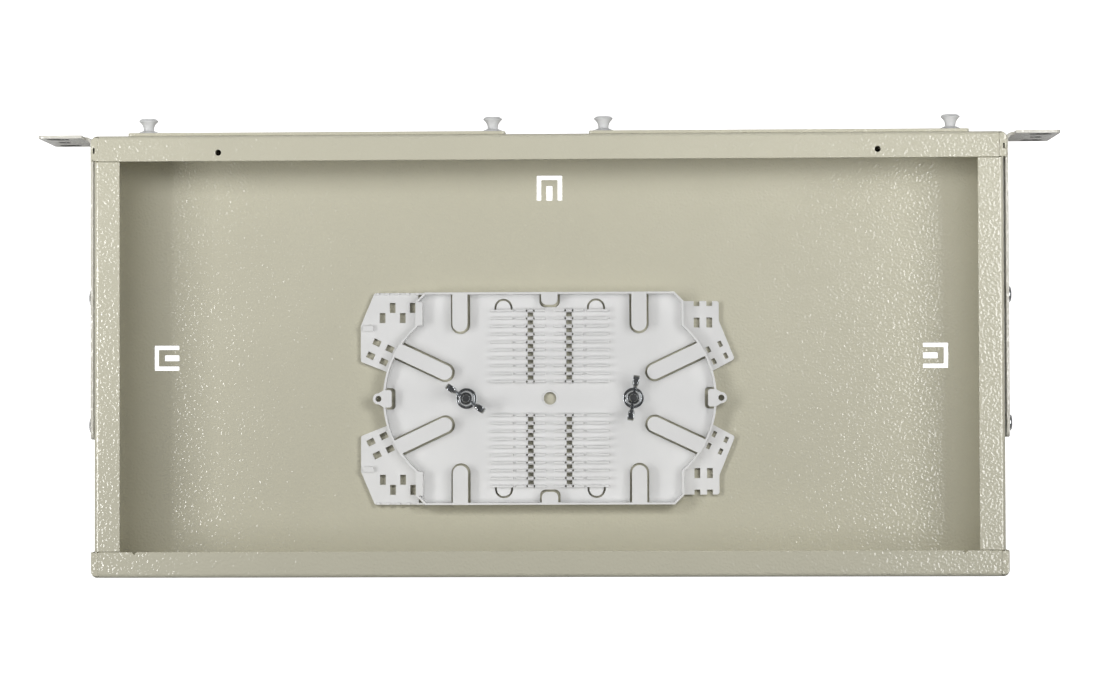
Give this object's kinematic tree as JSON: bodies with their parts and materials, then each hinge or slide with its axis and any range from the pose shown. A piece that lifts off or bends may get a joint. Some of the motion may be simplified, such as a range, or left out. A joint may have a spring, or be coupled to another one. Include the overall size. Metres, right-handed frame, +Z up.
{
  "type": "fibre distribution box",
  "caption": "Low rack-mount fibre distribution box of folded sheet, lid off, with slotted ears, latched adapter plates in front and a moulded splice tray held by wing nuts.",
  "frame": {"origin": "middle of the underside of the folded box", "axes": "+Z up, front with the adapter plates towards -Y, +X to the right as seen from the front"},
  "size_m": [0.4826, 0.2197, 0.044],
  "materials": {
    "box_paint": "pebble grey stove enamel with a fine orange-peel texture",
    "ear_paint": "pebble grey stove enamel",
    "tray_plastic": "white moulding",
    "nylon": "natural nylon",
    "plated_steel": "bright zinc",
    "black_rubber": "matt black rubber"
  },
  "bodies": {
    "box": {"box_body": "box_paint", "front_wall": "box_paint", "rear_wall": "box_paint", "front_rim": "box_paint", "rear_rim": "box_paint", "splice_tray": "tray_plastic", "left_side_wall": "box_paint", "left_corner_tabs": "box_paint", "left_rack_ear": "ear_paint", "left_ear_screws": "plated_steel", "left_rivet_nuts": "plated_steel", "left_adapter_plate": "box_paint", "left_cable_grommet": "black_rubber", "left_inner_latch_grommet": "nylon", "left_outer_latch_grommet": "nylon", "left_tray_stud": "plated_steel", "left_flat_washer": "plated_steel", "left_spring_washer": "plated_steel", "right_side_wall": "box_paint", "right_corner_tabs": "box_paint", "right_rack_ear": "ear_paint", "right_ear_screws": "plated_steel", "right_rivet_nuts": "plated_steel", "right_adapter_plate": "box_paint", "right_cable_grommet": "black_rubber", "right_inner_latch_grommet": "nylon", "right_outer_latch_grommet": "nylon", "right_tray_stud": "plated_steel", "right_flat_washer": "plated_steel", "right_spring_washer": "plated_steel"},
    "left_inner_latch": {"left_inner_latch_plunger": "nylon"},
    "left_outer_latch": {"left_outer_latch_plunger": "nylon"},
    "left_wing_nut": {"left_wing_nut": "plated_steel"},
    "right_inner_latch": {"right_inner_latch_plunger": "nylon"},
    "right_outer_latch": {"right_outer_latch_plunger": "nylon"},
    "right_wing_nut": {"right_wing_nut": "plated_steel"}
  },
  "joints": [
    {"name": "left_inner_latch_pull", "type": "slide", "parent": "box", "child": "left_inner_latch", "axis": [0, -1, 0], "range_m": [0, 0.005]},
    {"name": "left_outer_latch_pull", "type": "slide", "parent": "box", "child": "left_outer_latch", "axis": [0, -1, 0], "range_m": [0, 0.005]},
    {"name": "left_wing_nut_turn", "type": "hinge", "parent": "box", "child": "left_wing_nut", "pos_m": [-0.0404, 0.0202, 0.0059], "axis": [0, 0, 1], "continuous": true},
    {"name": "right_inner_latch_pull", "type": "slide", "parent": "box", "child": "right_inner_latch", "axis": [0, -1, 0], "range_m": [0, 0.005]},
    {"name": "right_outer_latch_pull", "type": "slide", "parent": "box", "child": "right_outer_latch", "axis": [0, -1, 0], "range_m": [0, 0.005]},
    {"name": "right_wing_nut_turn", "type": "hinge", "parent": "box", "child": "right_wing_nut", "pos_m": [0.0404, 0.0202, 0.0059], "axis": [0, 0, 1], "continuous": true}
  ]
}
